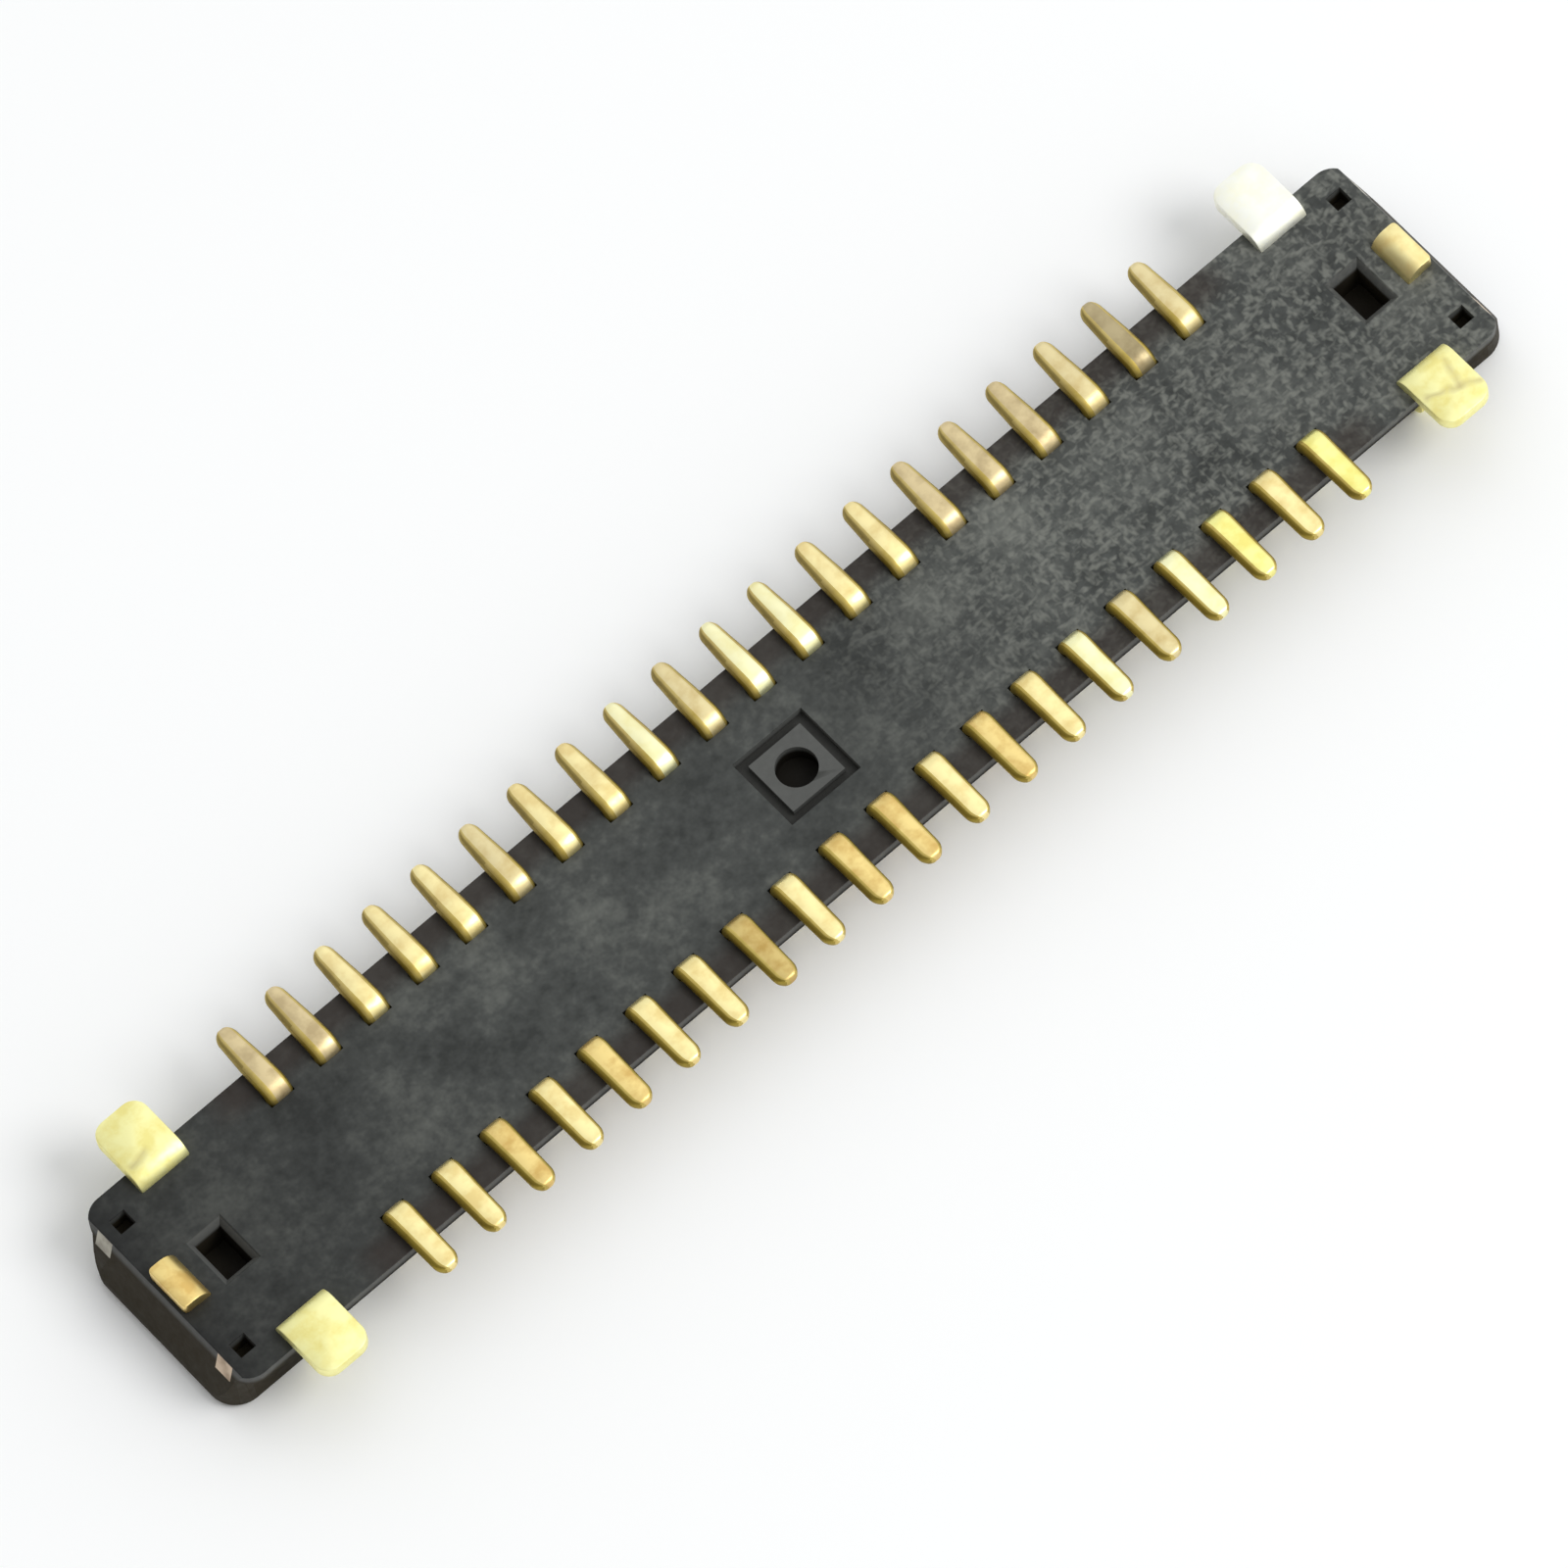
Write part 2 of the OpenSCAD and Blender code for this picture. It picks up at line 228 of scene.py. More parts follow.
goldLook = {
    "warm": {"bright": (1.00, 0.87, 0.43), "dull": (0.88, 0.70, 0.30), "rough": (0.32, 0.46)},
    "soft": {"bright": (0.82, 0.70, 0.38), "dull": (0.71, 0.56, 0.26), "rough": (0.36, 0.50)},
    "pale": {"bright": (1.00, 0.98, 0.60), "dull": (0.96, 0.90, 0.46), "rough": (0.34, 0.46)},
    "cream": {"bright": (1.00, 0.96, 0.48), "dull": (0.92, 0.84, 0.34), "rough": (0.48, 0.60)},
    # painted highlight: a near-white lot for a tab that catches the light
    "glintWhite": {"bright": (1.00, 1.00, 0.92), "dull": (1.00, 0.99, 0.84), "rough": (0.48, 0.60)},
    "lemon": {"bright": (1.00, 0.95, 0.36), "dull": (0.92, 0.82, 0.24), "rough": (0.32, 0.42)},
    "tan": {"bright": (0.74, 0.60, 0.34), "dull": (0.54, 0.42, 0.23), "rough": (0.38, 0.50)},
    "dim": {"bright": (0.45, 0.37, 0.21), "dull": (0.33, 0.26, 0.14), "rough": (0.40, 0.52)},
    "orange": {"bright": (0.90, 0.70, 0.28), "dull": (0.72, 0.49, 0.16), "rough": (0.34, 0.46)},
    "deep": {"bright": (0.68, 0.52, 0.20), "dull": (0.54, 0.36, 0.11), "rough": (0.36, 0.48)},
    # painted half shade for the strips' shoulders and painted shade for their sides
    "shoulder": {"bright": (0.66, 0.51, 0.15), "dull": (0.53, 0.40, 0.10), "rough": (0.40, 0.54)},
    "sheared": {"bright": (0.40, 0.30, 0.055), "dull": (0.30, 0.22, 0.04), "rough": (0.45, 0.60)},
    "cutGrey": {"bright": (0.44, 0.42, 0.36), "dull": (0.30, 0.28, 0.24), "rough": (0.50, 0.66)},
    "cutBeige": {"bright": (0.62, 0.50, 0.38), "dull": (0.44, 0.34, 0.25), "rough": (0.50, 0.66)},
    "patch": 0.13,               # size of the tarnish patches
    "patchEdge": (0.34, 0.58),   # dull below, bright above
    "wave": 0.13,                # size of the unevenness from bending and plating
    "waveDepth": 0.003,
    "toe": (0.60, 0.50, 0.30),
    "toeFrom": 0.66,             # on the +Y row the feet are duller beyond this
    "toeTo": 0.78,
    "toeShare": 0.25,
    "markedLot": "cream",
    "marks": {                   # straight lines on a tab, each from one X, Y to another
        "creased": (((4.84, -1.02), (4.51, -0.885)), ((4.76, -0.77), (4.72, -0.96))),
        "cracked": (((-4.69, 0.80), (-4.82, 0.77)),),
    },
    "mark": (0.50, 0.40, 0.19),
    "markWidth": 0.038,
    "markShare": (0.25, 0.62),   # on dull and on bright plating
    "markEdge": (0.35, 0.65),
    "markWander": 0.014,         # how far the unevenness pushes a mark off its line
    "markDepth": 0.002,
}


def strokeMask(tree, x, y, start, end, width):
    centre = (Vector(start) + Vector(end)) / 2
    half = (Vector(end) - Vector(start)) / 2
    along = half.normalized()
    across = Vector((-along.y, along.x))
    fades = []
    for way, reach in ((along, half.length), (across, 0.0)):
        place = mathNode(tree, "SUBTRACT", weigh(tree, x, y, way.x, way.y), centre.dot(way) * milli)
        away = mathNode(tree, "ABSOLUTE", place, 0.0)
        fades.append(spread(tree, away, reach * milli, (reach + width) * milli, 1.0, 0.0))
    return mathNode(tree, "MULTIPLY", *fades)


def addMarks(tree, lines, x, y, patches, wave, colour):
    g = goldLook
    wander = g["markWander"] * milli
    push = spread(tree, wave, *noiseSpan, -wander, wander)
    markX, markY = (mathNode(tree, "ADD", place, push) for place in (x, y))
    clear = spread(tree, patches, *g["markEdge"], *g["markShare"])
    relief = wave
    for start, end in lines:
        stroke = strokeMask(tree, markX, markY, start, end, g["markWidth"])
        colour = mixColour(tree, mathNode(tree, "MULTIPLY", stroke, clear), colour, g["mark"])
        relief = weigh(tree, relief, stroke, 1.0, -g["markDepth"] / g["waveDepth"])
    return colour, relief


def goldFinish(lot, toes=False):
    g = goldLook
    lines = g["marks"].get(lot, ())
    look = g[g["markedLot"] if lines else lot]
    material, tree, shader = newFinish(lot + ("Strip" if toes else "Strap"))
    point = objectPoint(tree)
    x, y = splitPoint(tree, point)[:2]
    patches = noise(tree, point, g["patch"], detail=3.0, roughness=0.55)
    relief = noise(tree, point, g["wave"], detail=1.0)
    dullTo, brightFrom = g["patchEdge"]
    colour = ramp(tree, patches, [(dullTo, look["dull"]), (brightFrom, look["bright"])])
    if toes:
        toe = spread(tree, y, g["toeFrom"] * milli, g["toeTo"] * milli, 0.0, g["toeShare"])
        colour = mixColour(tree, toe, colour, g["toe"])
    if lines:
        colour, relief = addMarks(tree, lines, x, y, patches, relief, colour)
    tree.links.new(colour, shader.inputs["Base Color"])
    shader.inputs["Metallic"].default_value = 1.0
    smooth, rough = look["rough"]
    tree.links.new(spread(tree, patches, *noiseSpan, rough, smooth), shader.inputs["Roughness"])
    bump(tree, shader, relief, g["waveDepth"])
    return material


strapLots = ("cream", "creased", "cracked", "glintWhite", "orange", "warm", "cutGrey", "cutBeige")
stripLots = ("warm", "soft", "pale", "lemon", "tan", "dim", "orange", "deep", "shoulder", "sheared")
strapGold = {lot: goldFinish(lot) for lot in strapLots}
stripGold = {lot: goldFinish(lot, True) for lot in stripLots}

# moulded black plastic: grey-green, with painted sheen and shade along X, fibres in the skin lit by
# painted sheen towards +X, painted brown shade round the feet, a painted highlight on the gate's pad and
# the windows' chamfers, and painted shade on the walls and in the wells

plasticLook = {
    "dark": (0.034, 0.037, 0.0345),
    "mid": (0.066, 0.0705, 0.066),
    "pale": (0.137, 0.143, 0.129),
    "mottleEdge": (0.36, 0.50, 0.66),   # dark, mid and pale lie here in the mottle
    "blotch": 0.60,                     # sizes and shares of what makes up the mottle
    "blotchShare": 0.52,
    "flake": 0.10,
    "flakeShare": 0.42,
    "speck": 0.045,
    "speckShare": 0.4,                  # of the flakes
    "mottleLift": 0.03,
    "sheenAndShadeTones": (                          # painted sheen and shade: brightness of the base at places along X, dark on the -X end, lightest towards +X
        (-5.3, 0.10), (-4.9, 0.36), (-2.4, 0.80), (1.0, 0.72), (2.2, 0.95), (5.3, 0.72)),
    "fibre": (0.215, 0.220, 0.195),
    "fibreFrom": 0.2,                   # fibres show in the skin from here towards +X; their pale colour there is painted sheen on real grain
    "fibreTo": 2.0,
    "fibreShare": 0.62,
    "fibreSize": 0.042,
    "fibreStretch": 0.62,               # along the strokes
    "fibreEdge": (0.50, 0.74),
    "feet": (0.026, 0.018, 0.014),      # painted brown shade and painted gold reflection beside the feet
    "feetFrom": 0.56,
    "feetTo": 0.68,
    "feetShare": 0.75,
    "feetEnd": 4.05,                    # the painted brown fades out from here towards each end
    "feetFade": 0.2,
    "sunk": (0.092, 0.093, 0.088),      # painted highlight on the gate's pad and the windows' chamfers
    "sunkFrom": 0.508,
    "sunkTo": 0.516,
    "sunkShare": 0.75,
    "deep": (0.0085, 0.0072, 0.0052),   # painted shade in the wells and the cavity
    "wall": (0.030, 0.0235, 0.0130),    # painted shade on the outer end walls
    "wallFrom": 0.435,                  # below this height the plastic has the painted shade of the walls and wells
    "wallTo": 0.475,
    "endFrom": 4.60,                    # from here to the next the wells' painted shade turns into the end walls'
    "endTo": 5.25,
    "rough": (0.68, 0.50),              # between the flakes and on them
    "shine": (0.3, 0.1),                # on the base and below it
    "pit": 0.03,
    "pitShare": 0.4,
    "pitDepth": 0.002,
}


def paintBase(tree, x, mottle):
    look = plasticLook
    tints = (look["dark"], look["mid"], look["pale"])
    surface = ramp(tree, mottle, list(zip(look["mottleEdge"], tints)))
    first = look["sheenAndShadeTones"][0][0]
    last = look["sheenAndShadeTones"][-1][0]
    # painted sheen and shade along X, multiplied over the mottle
    along = spread(tree, x, first * milli, last * milli, 0.0, 1.0)
    stops = [((place - first) / (last - first), (grey, grey, grey)) for place, grey in look["sheenAndShadeTones"]]
    return mixColour(tree, 1.0, surface, ramp(tree, along, stops), "MULTIPLY")


def sheenLitFibreMask(tree, x):
    look = plasticLook
    strokes = []
    for way in ((look["fibreStretch"], 1, 1), (1, look["fibreStretch"], 1)):
        grain = noise(tree, objectPoint(tree, way), look["fibreSize"], detail=1.0)
        strokes.append(spread(tree, grain, *look["fibreEdge"], 0.0, 1.0))
    shown = spread(tree, x, look["fibreFrom"] * milli, look["fibreTo"] * milli, 0.0, look["fibreShare"])
    return mathNode(tree, "MULTIPLY", mathNode(tree, "MAXIMUM", *strokes), shown)


def feetShadeMask(tree, farX, farY):
    look = plasticLook
    fadeTo = look["feetEnd"] + look["feetFade"]
    beside = spread(tree, farY, look["feetFrom"] * milli, look["feetTo"] * milli, 0.0, look["feetShare"])
    along = spread(tree, farX, look["feetEnd"] * milli, fadeTo * milli, 1.0, 0.0)
    return mathNode(tree, "MULTIPLY", beside, along)


def plasticFinish():
    look = plasticLook
    material, tree, shader = newFinish("mouldedBlack")
    point = objectPoint(tree)
    x, y, z = splitPoint(tree, point)
    farX = mathNode(tree, "ABSOLUTE", x, 0.0)
    farY = mathNode(tree, "ABSOLUTE", y, 0.0)
    blotch = noise(tree, point, look["blotch"], detail=2.0)
    patch = noise(tree, point, look["flake"], detail=2.0, roughness=0.6)
    speck = noise(tree, point, look["speck"], detail=1.0)
    flake = weigh(tree, patch, speck, 1 - look["speckShare"], look["speckShare"])
    pit = noise(tree, point, look["pit"], detail=2.0)
    mottle = weigh(tree, blotch, flake, look["blotchShare"], look["flakeShare"])
    surface = paintBase(tree, x, mathNode(tree, "ADD", mottle, look["mottleLift"]))
    # pale fibres lit by painted sheen towards +X
    surface = mixColour(tree, sheenLitFibreMask(tree, x), surface, look["fibre"])
    # painted brown shade and gold reflection beside the feet
    surface = mixColour(tree, feetShadeMask(tree, farX, farY), surface, look["feet"])
    # painted highlight just below the base's level
    sunk = spread(tree, z, look["sunkFrom"] * milli, look["sunkTo"] * milli, look["sunkShare"], 0.0)
    surface = mixColour(tree, sunk, surface, look["sunk"])
    # painted shade below the base: in the wells and cavity, and on the end walls
    below = spread(tree, z, look["wallFrom"] * milli, look["wallTo"] * milli, 1.0, 0.0)
    outside = spread(tree, farX, look["endFrom"] * milli, look["endTo"] * milli, 0.0, 1.0)
    lower = mixColour(tree, outside, look["deep"], look["wall"])
    tree.links.new(mixColour(tree, below, surface, lower), shader.inputs["Base Color"])
    tree.links.new(spread(tree, flake, *noiseSpan, *look["rough"]), shader.inputs["Roughness"])
    tree.links.new(spread(tree, below, 0.0, 1.0, *look["shine"]), shader.inputs["Specular IOR Level"])
    bump(tree, shader, weigh(tree, flake, pit, 1.0, look["pitShare"]), look["pitDepth"])
    return material


blackPlastic = plasticFinish()
print("finishes made:", len(strapGold) + len(stripGold) + 1)

# contacts: one bent strip each, from the foot's tip to the tip inside the cavity

contactShape = {
    "thickness": 0.09,
    "footWidth": 0.18,
    "tipRound": 0.08,
    "tipLength": 0.09,
    "tipShares": {"a": 0.84, "b": 0.97},   # the foot narrows to this share of its width
    "taperLength": 0.30,                   # from the tip
    "footBend": 0.04,      # inside radius
    "turnOut": 0.15,       # outside radius of the turn over the wall's rim
    "rimGap": 0.03,        # from the mating rim to the turn
    "innerTip": 0.26,
    "lockHeight": 0.30,
    "lockRadius": 0.06,
    "lockDepth": 0.02,
    "rolledEdge": 0.043,   # rounding on the -X side
    "plainEdge": 0.036,
    "endRound": 0.03,      # rounding of the strip's two ends
    "edgeSteps": 4,
    "tipSteps": 8,
    "bendSteps": 8,
    "turnSteps": 16,
    "lockSteps": 8,
    "shearedLean": (-0.5, 0.7),   # faces that look further along X than this get the painted shade of the dark sides
    "halfShadeLean": (-0.1, 0.4),  # and those between get the painted half shade of the shoulders
    "smoothBelow": 40,            # degrees
    "lots": {
        "pale": ("a09", "a11", "a12", "b15", "b17"),
        "lemon": ("b18", "b20"),
        "soft": ("a06", "a10", "a18", "a20", "b16"),
        "tan": ("a01", "a02", "a15", "a16", "a17"),
        "dim": ("a19",),
        "orange": ("b03", "b05", "b10", "b11", "b13"),
        "deep": ("b08",),
    },
}


def roundedSection(bm, half, y, mid):
    s = contactShape
    points = []
    for sideX, sideZ, start in ((1, 1, 0), (-1, 1, 90), (-1, -1, 180), (1, -1, 270)):
        r = s["plainEdge"] if sideX > 0 else s["rolledEdge"]
        for step in range(s["edgeSteps"] + 1):
            angle = math.radians(start + 90 * step / s["edgeSteps"])
            points.append((sideX * (half - r) + r * math.cos(angle),
                           sideZ * (s["thickness"] / 2 - r) + r * math.sin(angle)))
    return bm.faces.new([bm.verts.new((x, y, mid + z)) for x, z in points])


def stretch(section, axis, centre, factor):
    for vert in section.verts:
        vert.co[axis] = centre + (vert.co[axis] - centre) * factor


def arcShare(depth, radius, full):
    inside = min(depth, radius)
    return (full - radius + math.sqrt(radius ** 2 - (radius - inside) ** 2)) / full


def roundTip(bm, section, share, half, mid):
    s = contactShape
    thick = s["thickness"] / 2
    depths = [s["tipLength"] * (1 - math.cos(math.radians(90 * step / s["tipSteps"])))
              for step in range(s["tipSteps"] + 1)]
    narrow = s["tipRound"] * share
    wide = [arcShare(depth * narrow / s["tipLength"], narrow, half) for depth in depths]
    deep = [arcShare(depth, s["endRound"], thick) for depth in depths]
    stretch(section, axisX, 0, wide[0])
    stretch(section, axisZ, mid, deep[0])
    for step in range(1, s["tipSteps"] + 1):
        section = carryFace(bm, section, (0, depths[step - 1] - depths[step], 0))
        stretch(section, axisX, 0, wide[step] / wide[step - 1])
        stretch(section, axisZ, mid, deep[step] / deep[step - 1])
    return section


def lockGroove(bm, section, outer):
    s = contactShape
    centreY = outer + s["lockRadius"] - s["lockDepth"]
    mid = outer - s["thickness"] / 2
    opening = math.acos(1 - s["lockDepth"] / s["lockRadius"])
    depth = s["thickness"] / 2
    for step in range(s["lockSteps"] + 1):
        angle = opening - 2 * opening * step / s["lockSteps"]
        z = s["lockHeight"] + s["lockRadius"] * math.sin(angle)
        section = carryFace(bm, section, (0, 0, z - section.verts[0].co.z))
        left = centreY - s["lockRadius"] * math.cos(angle) - mid
        for vert in section.verts:
            if vert.co.y > mid:
                vert.co.y = mid + (vert.co.y - mid) * left / depth
        depth = left
    return section


def contactStrip(row, width, inner, reach, top):
    s = contactShape
    bm = bmesh.new()
    share = s["tipShares"][row]
    half = s["footWidth"] * share / 2
    under = top - s["thickness"]
    outer = inner + 2 * s["turnOut"]
    bendY = outer + s["footBend"]
    turnY = inner + s["turnOut"]
    turnZ = s["rimGap"] + s["turnOut"]
    mid = (under + top) / 2
    section = roundTip(bm, roundedSection(bm, half, reach, mid), share, half, mid)
    section = carryFace(bm, section, (0, s["tipLength"] - s["taperLength"], 0))
    stretch(section, axisX, 0, 1 / share)
    section = carryFace(bm, section, (0, bendY - reach + s["taperLength"], 0))
    stretch(section, axisX, 0, width / s["footWidth"])
    section = turnFace(bm, section, (0, bendY, under - s["footBend"]), (1, 0, 0), 90, s["bendSteps"])
    section = lockGroove(bm, section, outer)
    section = carryFace(bm, section, (0, 0, turnZ - section.verts[0].co.z))
    section = turnFace(bm, section, (0, turnY, turnZ), (1, 0, 0), -180, s["turnSteps"])
    section = carryFace(bm, section, (0, 0, s["innerTip"] - s["endRound"] - turnZ))
    section = carryFace(bm, section, (0, 0, s["endRound"]))
    stretch(section, axisY, inner + s["thickness"] / 2, 1 - 2 * s["endRound"] / s["thickness"])
    bmesh.ops.recalc_face_normals(bm, faces=bm.faces[:])
    return bm


def within(value, limits):
    return limits[0] < value < limits[1]


def makeContact(row, number):
    s = contactShape
    tag = f"{row}{number:02d}"
    name = "contact_" + tag
    low, high = nodeBox(name)
    near = min(abs(low.y), abs(high.y))
    far = max(abs(low.y), abs(high.y))
    bm = contactStrip(row, high.x - low.x, near, far, high.z)
    bm.normal_update()
    lot = next((lot for lot, tags in s["lots"].items() if tag in tags), "warm")
    # faces leaning along X get painted shade: half on the shoulders, full on the sides
    parts = [lot, "shoulder", "sheared"]
    for face in bm.faces:
        lean = face.normal.x
        if not within(lean, s["shearedLean"]):
            face.material_index = parts.index("sheared")
        elif not within(lean, s["halfShadeLean"]):
            face.material_index = parts.index("shoulder")
    side = 1 if row == "a" else -1
    bmesh.ops.scale(bm, vec=(1, side, 1), verts=bm.verts[:])
    bmesh.ops.translate(bm, vec=((low.x + high.x) / 2, 0, 0), verts=bm.verts[:])
    bmesh.ops.recalc_face_normals(bm, faces=bm.faces[:])
    finishes = [stripGold[part] for part in parts]
    return setPiece(bm, "strip_" + tag, finishes, name, s["smoothBelow"])


perRow = sum(name.startswith("contact_a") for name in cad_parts)
strips = [makeContact(row, number) for row in rows for number in range(1, perRow + 1)]
print("contacts made:", len(strips))

# end fittings: folded sheet with a frame, two side tabs, an end wall with its stub, and two ears

fittingShape = {
    "thickness": 0.10,
    "bend": 0.03,           # inside radius
    "tabHalf": 0.195,
    "tabMiddle": 0.68,      # from the housing's end
    "tabRound": 0.11,
    "tabSteps": 8,
    "legHalf": 0.10,
    "legTop": 0.42,         # here the leg widens to the tab
    "frameHalf": 0.60,
    "pocketHalf": 0.30,
    "border": 0.08,
    "endWall": 0.26,        # plastic outside the end wall
    "wallHalf": 0.645,
    "wallTop": 0.33,
    "stubHalf": 0.18,
    "stubInset": 0.15,
    "stubRound": 0.03,
    "stubSteps": 4,
    "earWidth": 0.14,
    "earRoot": 0.20,
    "earStep": 0.19,        # from the housing's end
    "earTop": 0.51,
    "earShown": 0.14,       # height of the cut end that shows on the slope
    "slopeIn": 0.13,        # the housing's end leans in by this over the slope's height
    "slopeHeight": 0.40,
    "shoulder": 0.01,       # height over which a leg or the wall widens
    "edgeRound": 0.016,
    "edgeSteps": 2,
    "sharpAbove": 50,       # degrees; such edges are rounded
    "smoothBelow": 40,
    "bendSteps": 8,
    "lots": {               # the plating of each part, in the order of fittingParts
        "left": ("cream", "cracked", "cream", "orange", "cutGrey", "cutBeige"),
        # the right fitting's +Y tab takes the painted highlight
        "right": ("cream", "glintWhite", "creased", "warm", "cutGrey", "cutBeige"),
    },
}
fittingParts = ("frame", "upperTab", "lowerTab", "stub", "upperEar", "lowerEar")   # upper is the +Y side


def cutAlong(bm, faces, axis, values):
    for value in values:
        point = Vector((0, 0, 0))
        point[axis] = value
        direction = Vector((0, 0, 0))
        direction[axis] = 1
        inside = [f for f in faces if f.is_valid]
        geom = {part for f in inside for part in (f, *f.edges, *f.verts)}
        cut = bmesh.ops.bisect_plane(bm, geom=list(geom), dist=touch, plane_co=point, plane_no=direction)
        faces = [f for f in cut["geom"] if isinstance(f, bmesh.types.BMFace)]
    return faces


def edgesAt(bm, axis, value, low, high):
    across = 1 - axis
    return [e for e in bm.edges if all(abs(v.co[axis] - value) < touch for v in e.verts)
            and low - touch < min(v.co[across] for v in e.verts)
            and max(v.co[across] for v in e.verts) < high + touch]


def widen(edges, axis, centre, factor, beyond=0.0):
    for vert in {v for e in edges for v in e.verts}:
        if abs(vert.co[axis] - centre) > beyond - touch:
            vert.co[axis] = centre + (vert.co[axis] - centre) * factor


def framePlate(bm, frameLow, frameHigh, tabX):
    s = fittingShape
    half = s["frameHalf"]
    corners = ((frameLow, -half), (frameHigh, -half), (frameHigh, half), (frameLow, half))
    plate = bm.faces.new([bm.verts.new((x, y, 0)) for x, y in corners])
    cells = cutAlong(bm, [plate], axisY, [-s["pocketHalf"], s["pocketHalf"]])
    cells = cutAlong(bm, cells, axisX, [tabX - s["legHalf"], tabX + s["legHalf"]])
    cells = cutAlong(bm, cells, axisY, [-s["stubHalf"], s["stubHalf"]])
    inner = [f for f in cells if abs(f.calc_center_median().y) < s["pocketHalf"]
             and abs(f.calc_center_median().x - tabX) < s["legHalf"]]
    bmesh.ops.delete(bm, geom=inner, context="FACES")
    for vert in bm.verts:
        if abs(vert.co.y) < s["pocketHalf"] + touch:
            if abs(vert.co.x - tabX + s["legHalf"]) < touch:
                vert.co.x = frameLow + s["border"]
            elif abs(vert.co.x - tabX - s["legHalf"]) < touch:
                vert.co.x = frameHigh - s["border"]


def foldTab(bm, side, tabX, reach, top):
    s = fittingShape
    half = s["frameHalf"]
    outBend = s["bend"] + s["thickness"]
    bendY = half + outBend + s["bend"]
    bendZ = top - outBend
    edge = edgesAt(bm, axisY, side * half, tabX - s["legHalf"], tabX + s["legHalf"])
    edge = turnEdges(bm, edge, (0, side * half, outBend), (1, 0, 0), 90 * side, s["bendSteps"])
    edge = carryEdges(bm, edge, (0, 0, s["legTop"] - s["shoulder"] - outBend))
    edge = carryEdges(bm, edge, (0, 0, s["shoulder"]))
    widen(edge, axisX, tabX, s["tabHalf"] / s["legHalf"])
    edge = carryEdges(bm, edge, (0, 0, bendZ - s["legTop"]))
    edge = turnEdges(bm, edge, (0, side * bendY, bendZ), (1, 0, 0), -90 * side, s["bendSteps"])
    edge = carryEdges(bm, edge, (0, side * (reach - bendY), 0))
    roundCorners(bm, edge, s["tabRound"], s["tabSteps"])


def foldEnd(bm, frameHigh, wallX, stubX, top):
    s = fittingShape
    half = s["frameHalf"]
    outBend = s["bend"] + s["thickness"]
    bendX = wallX + s["bend"]
    bendZ = top - outBend
    wall = edgesAt(bm, axisX, frameHigh, -half, half)
    wall = turnEdges(bm, wall, (frameHigh, 0, outBend), (0, 1, 0), -90, s["bendSteps"])
    wall = carryEdges(bm, wall, (0, 0, s["shoulder"]))
    corners = [e for e in wall if abs(middle(e).y) > s["pocketHalf"]]
    widen(corners, axisY, 0, s["wallHalf"] / half, half)
    wall = carryEdges(bm, wall, (0, 0, s["wallTop"] - outBend - s["shoulder"]))
    stub = [e for e in wall if abs(middle(e).y) < s["stubHalf"]]
    stub = carryEdges(bm, stub, (0, 0, bendZ - s["wallTop"]))
    stub = turnEdges(bm, stub, (bendX, 0, bendZ), (0, 1, 0), 90, s["bendSteps"])
    stub = carryEdges(bm, stub, (stubX - bendX, 0, 0))
    roundCorners(bm, stub, s["stubRound"], s["stubSteps"])


def fittingSheet(frameLow, xEnd, reach, top):
    s = fittingShape
    wallX = xEnd - s["endWall"]
    frameHigh = wallX - s["bend"] - s["thickness"]
    tabX = xEnd - s["tabMiddle"]
    bm = bmesh.new()
    framePlate(bm, frameLow, frameHigh, tabX)
    for side in (-1, 1):
        foldTab(bm, side, tabX, reach, top)
    foldEnd(bm, frameHigh, wallX, xEnd - s["stubInset"], top)
    bmesh.ops.recalc_face_normals(bm, faces=bm.faces[:])
    bm.normal_update()
    lowest = min(bm.faces, key=lambda f: f.calc_center_median().z)
    if lowest.normal.z > 0:
        bmesh.ops.reverse_faces(bm, faces=bm.faces[:])
    bmesh.ops.solidify(bm, geom=bm.faces[:], thickness=s["thickness"])
    bmesh.ops.recalc_face_normals(bm, faces=bm.faces[:])
    roundEdges(bm, sharpEdges(bm, s["sharpAbove"]), s["edgeRound"], s["edgeSteps"])
    return bm


def addEar(bm, side, xEnd):
    s = fittingShape
    rootX = xEnd - s["endWall"] - s["thickness"] / 2
    stepX = xEnd - s["earStep"]
    base = nodeBox("housing")[1].z
    outline = [(rootX, s["earRoot"]), (stepX, s["earRoot"])]
    for z in (s["earTop"] - s["earShown"], s["earTop"]):
        outline.append((xEnd - s["slopeIn"] * (1 - (base - z) / s["slopeHeight"]), z))
    outline += [(stepX, s["earTop"]), (stepX, s["wallTop"]), (rootX, s["wallTop"])]
    y = side * s["wallHalf"]
    ear = bm.faces.new([bm.verts.new((x, y, z)) for x, z in outline])
    before = set(bm.faces) - {ear}
    carryFace(bm, ear, (0, -side * s["earWidth"], 0))
    part = fittingParts.index("upperEar" if side > 0 else "lowerEar")
    for face in set(bm.faces) - before:
        face.material_index = part


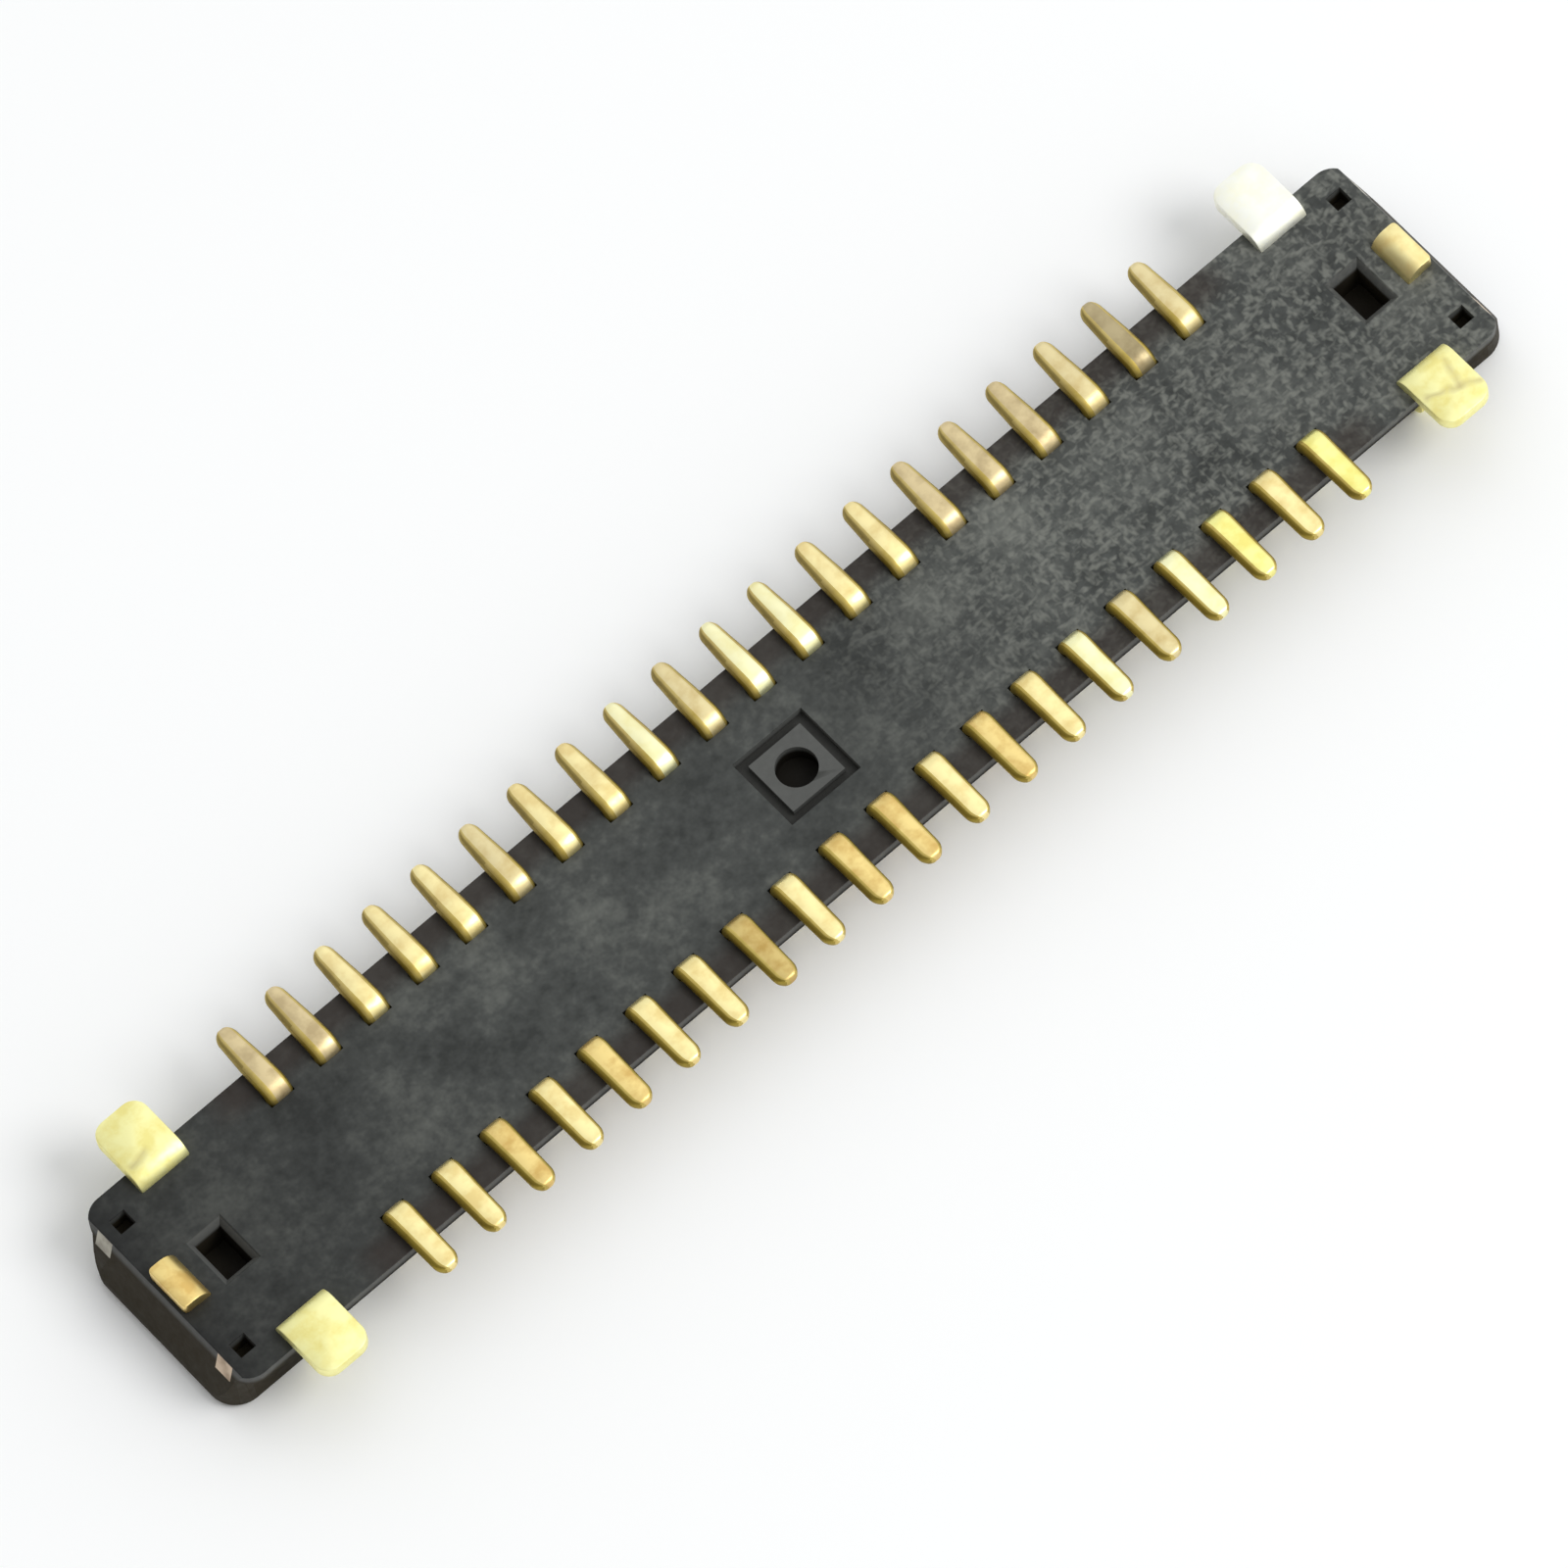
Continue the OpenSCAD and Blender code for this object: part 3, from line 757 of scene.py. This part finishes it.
def makeFitting(end):
    s = fittingShape
    name = "end_fitting_" + end
    low, high = nodeBox(name)
    outward = 1 if end == "right" else -1
    xEnd = nodeBox("housing")[1].x
    bm = fittingSheet(min(abs(low.x), abs(high.x)), xEnd, high.y, high.z)
    for face in bm.faces:
        spot = face.calc_center_median()
        if spot.z > s["legTop"] and abs(spot.y) > s["frameHalf"]:
            face.material_index = fittingParts.index("upperTab" if spot.y > 0 else "lowerTab")
        elif spot.z > s["wallTop"] and abs(spot.y) < s["pocketHalf"]:
            face.material_index = fittingParts.index("stub")
    for side in (-1, 1):
        addEar(bm, side, xEnd)
    bmesh.ops.scale(bm, vec=(outward, 1, 1), verts=bm.verts[:])
    bmesh.ops.recalc_face_normals(bm, faces=bm.faces[:])
    finishes = [strapGold[lot] for lot in s["lots"][end]]
    return setPiece(bm, "holdDown_" + end, finishes, name, s["smoothBelow"])


holdDowns = [makeFitting(end) for end in ends]
print("end fittings made:", len(holdDowns))

# housing: the moulded body with its outer edges, windows and recesses softly rounded

housingShape = {
    "softEdge": 0.018,
    "softSegments": 2,
    "sharpAbove": 40,       # degrees; such edges may be softened
    "smoothBelow": 16,
    "flatBelow": 1,         # faces that meet at less are joined
    "base": 0.52,
    "ledgeUnder": 0.42,
    "levelWithin": 0.001,
    "sideFrom": 0.76,       # outer edges of the base lie beyond this
    "endFrom": 5.18,
    "windowFrom": 4.57,     # edges round the windows and the gate lie within these
    "windowTo": 4.91,
    "windowHalf": 0.22,
    "gateHalf": 0.30,
}


def softHousingEdge(edge):
    s = housingShape
    spot = middle(edge)
    x = abs(spot.x)
    y = abs(spot.y)
    flat = all(abs(v.co.z - s["base"]) < s["levelWithin"] for v in edge.verts)
    under = all(abs(v.co.z - s["ledgeUnder"]) < s["levelWithin"] for v in edge.verts)
    outer = y > s["sideFrom"] or x > s["endFrom"]
    window = s["windowFrom"] < x < s["windowTo"] and y < s["windowHalf"]
    gate = x < s["gateHalf"] and y < s["gateHalf"]
    return (flat and (outer or window or gate)) or (under and outer)


def makeHousing():
    s = housingShape
    bm = bmesh.new()
    bm.from_mesh(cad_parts["housing"].data)
    bmesh.ops.scale(bm, vec=(1 / milli, 1 / milli, 1 / milli), verts=bm.verts[:])
    bmesh.ops.remove_doubles(bm, verts=bm.verts[:], dist=touch)
    flat = math.radians(s["flatBelow"])
    bmesh.ops.dissolve_limit(bm, angle_limit=flat, verts=bm.verts[:], edges=bm.edges[:])
    edges = [e for e in sharpEdges(bm, s["sharpAbove"]) if softHousingEdge(e)]
    roundEdges(bm, edges, s["softEdge"], s["softSegments"])
    print("housing edges rounded:", len(edges))
    return setPiece(bm, "body", [blackPlastic], "housing", s["smoothBelow"])


makeHousing()

# floor, light and camera: floor and lamps in metres, the view in degrees and millimetres

floorLook = {"size": 1.2, "colour": (0.95, 0.95, 0.95), "rough": 0.9}
lightLook = {
    "sky": (0.92, 0.94, 0.95),
    "dimSky": (0.26, 0.25, 0.23),     # towards -X
    "dimFrom": -0.80,
    "dimTo": 0.05,
    "skyStrength": 1.00,
    "key": {"from": (0.060, -0.080, 0.110), "size": 0.080, "power": 0.09},
    "overhead": {"from": (0.020, 0.020, 0.052), "size": 0.030, "power": 0.0008},
}
viewLook = {
    "azimuth": -28.937,
    "elevation": 64.383,
    "roll": 13.621,
    "aim": (-0.1595, -0.0799, 0.62),
    "distance": 121.909,
    "lens": 450,
    "sensor": 36,
}


def makeFloor():
    bm = bmesh.new()
    bmesh.ops.create_grid(bm, x_segments=1, y_segments=1, size=floorLook["size"] / 2)
    mesh = bpy.data.meshes.new("floor")
    bm.to_mesh(mesh)
    bm.free()
    floor = bpy.data.objects.new("floor", mesh)
    bpy.context.scene.collection.objects.link(floor)
    material, tree, shader = newFinish("paleFloor")
    shader.inputs["Base Color"].default_value = (*floorLook["colour"], 1)
    shader.inputs["Roughness"].default_value = floorLook["rough"]
    shader.inputs["Specular IOR Level"].default_value = 0.0
    mesh.materials.append(material)


def makeLamp(name, look):
    lamp = bpy.data.lights.new(name, "AREA")
    lamp.shape = "DISK"
    lamp.size = look["size"]
    lamp.energy = look["power"]
    holder = bpy.data.objects.new(name, lamp)
    holder.location = look["from"]
    holder.rotation_euler = Vector(look["from"]).to_track_quat("Z", "Y").to_euler()
    bpy.context.scene.collection.objects.link(holder)


def makeSky():
    world = bpy.data.worlds.new("softSky")
    world.use_nodes = True
    tree = world.node_tree
    ray = tree.nodes.new("ShaderNodeNewGeometry")
    x = splitPoint(tree, ray.outputs["Incoming"])[0]
    away = spread(tree, x, -lightLook["dimTo"], -lightLook["dimFrom"], 0.0, 1.0)
    back = tree.nodes["Background"]
    tree.links.new(mixColour(tree, away, lightLook["sky"], lightLook["dimSky"]), back.inputs["Color"])
    back.inputs["Strength"].default_value = lightLook["skyStrength"]
    bpy.context.scene.world = world


def makeCamera():
    azimuth = math.radians(viewLook["azimuth"])
    elevation = math.radians(viewLook["elevation"])
    back = Vector((math.sin(azimuth) * math.cos(elevation), -math.cos(azimuth) * math.cos(elevation),
                   math.sin(elevation)))
    roll = Matrix.Rotation(-math.radians(viewLook["roll"]), 3, "Z")
    turn = back.to_track_quat("Z", "Y").to_matrix() @ roll
    data = bpy.data.cameras.new("camera")
    data.lens = viewLook["lens"]
    data.sensor_width = viewLook["sensor"]
    data.clip_start = milli
    camera = bpy.data.objects.new("camera", data)
    spot = (Vector(viewLook["aim"]) + back * viewLook["distance"]) * milli
    camera.matrix_world = Matrix.Translation(spot) @ turn.to_4x4()
    bpy.context.scene.collection.objects.link(camera)
    bpy.context.scene.camera = camera


makeFloor()
makeSky()
for lampName in ("key", "overhead"):
    makeLamp(lampName, lightLook[lampName])
makeCamera()
bpy.context.scene.view_settings.view_transform = "Standard"
print("floor, light and camera set")
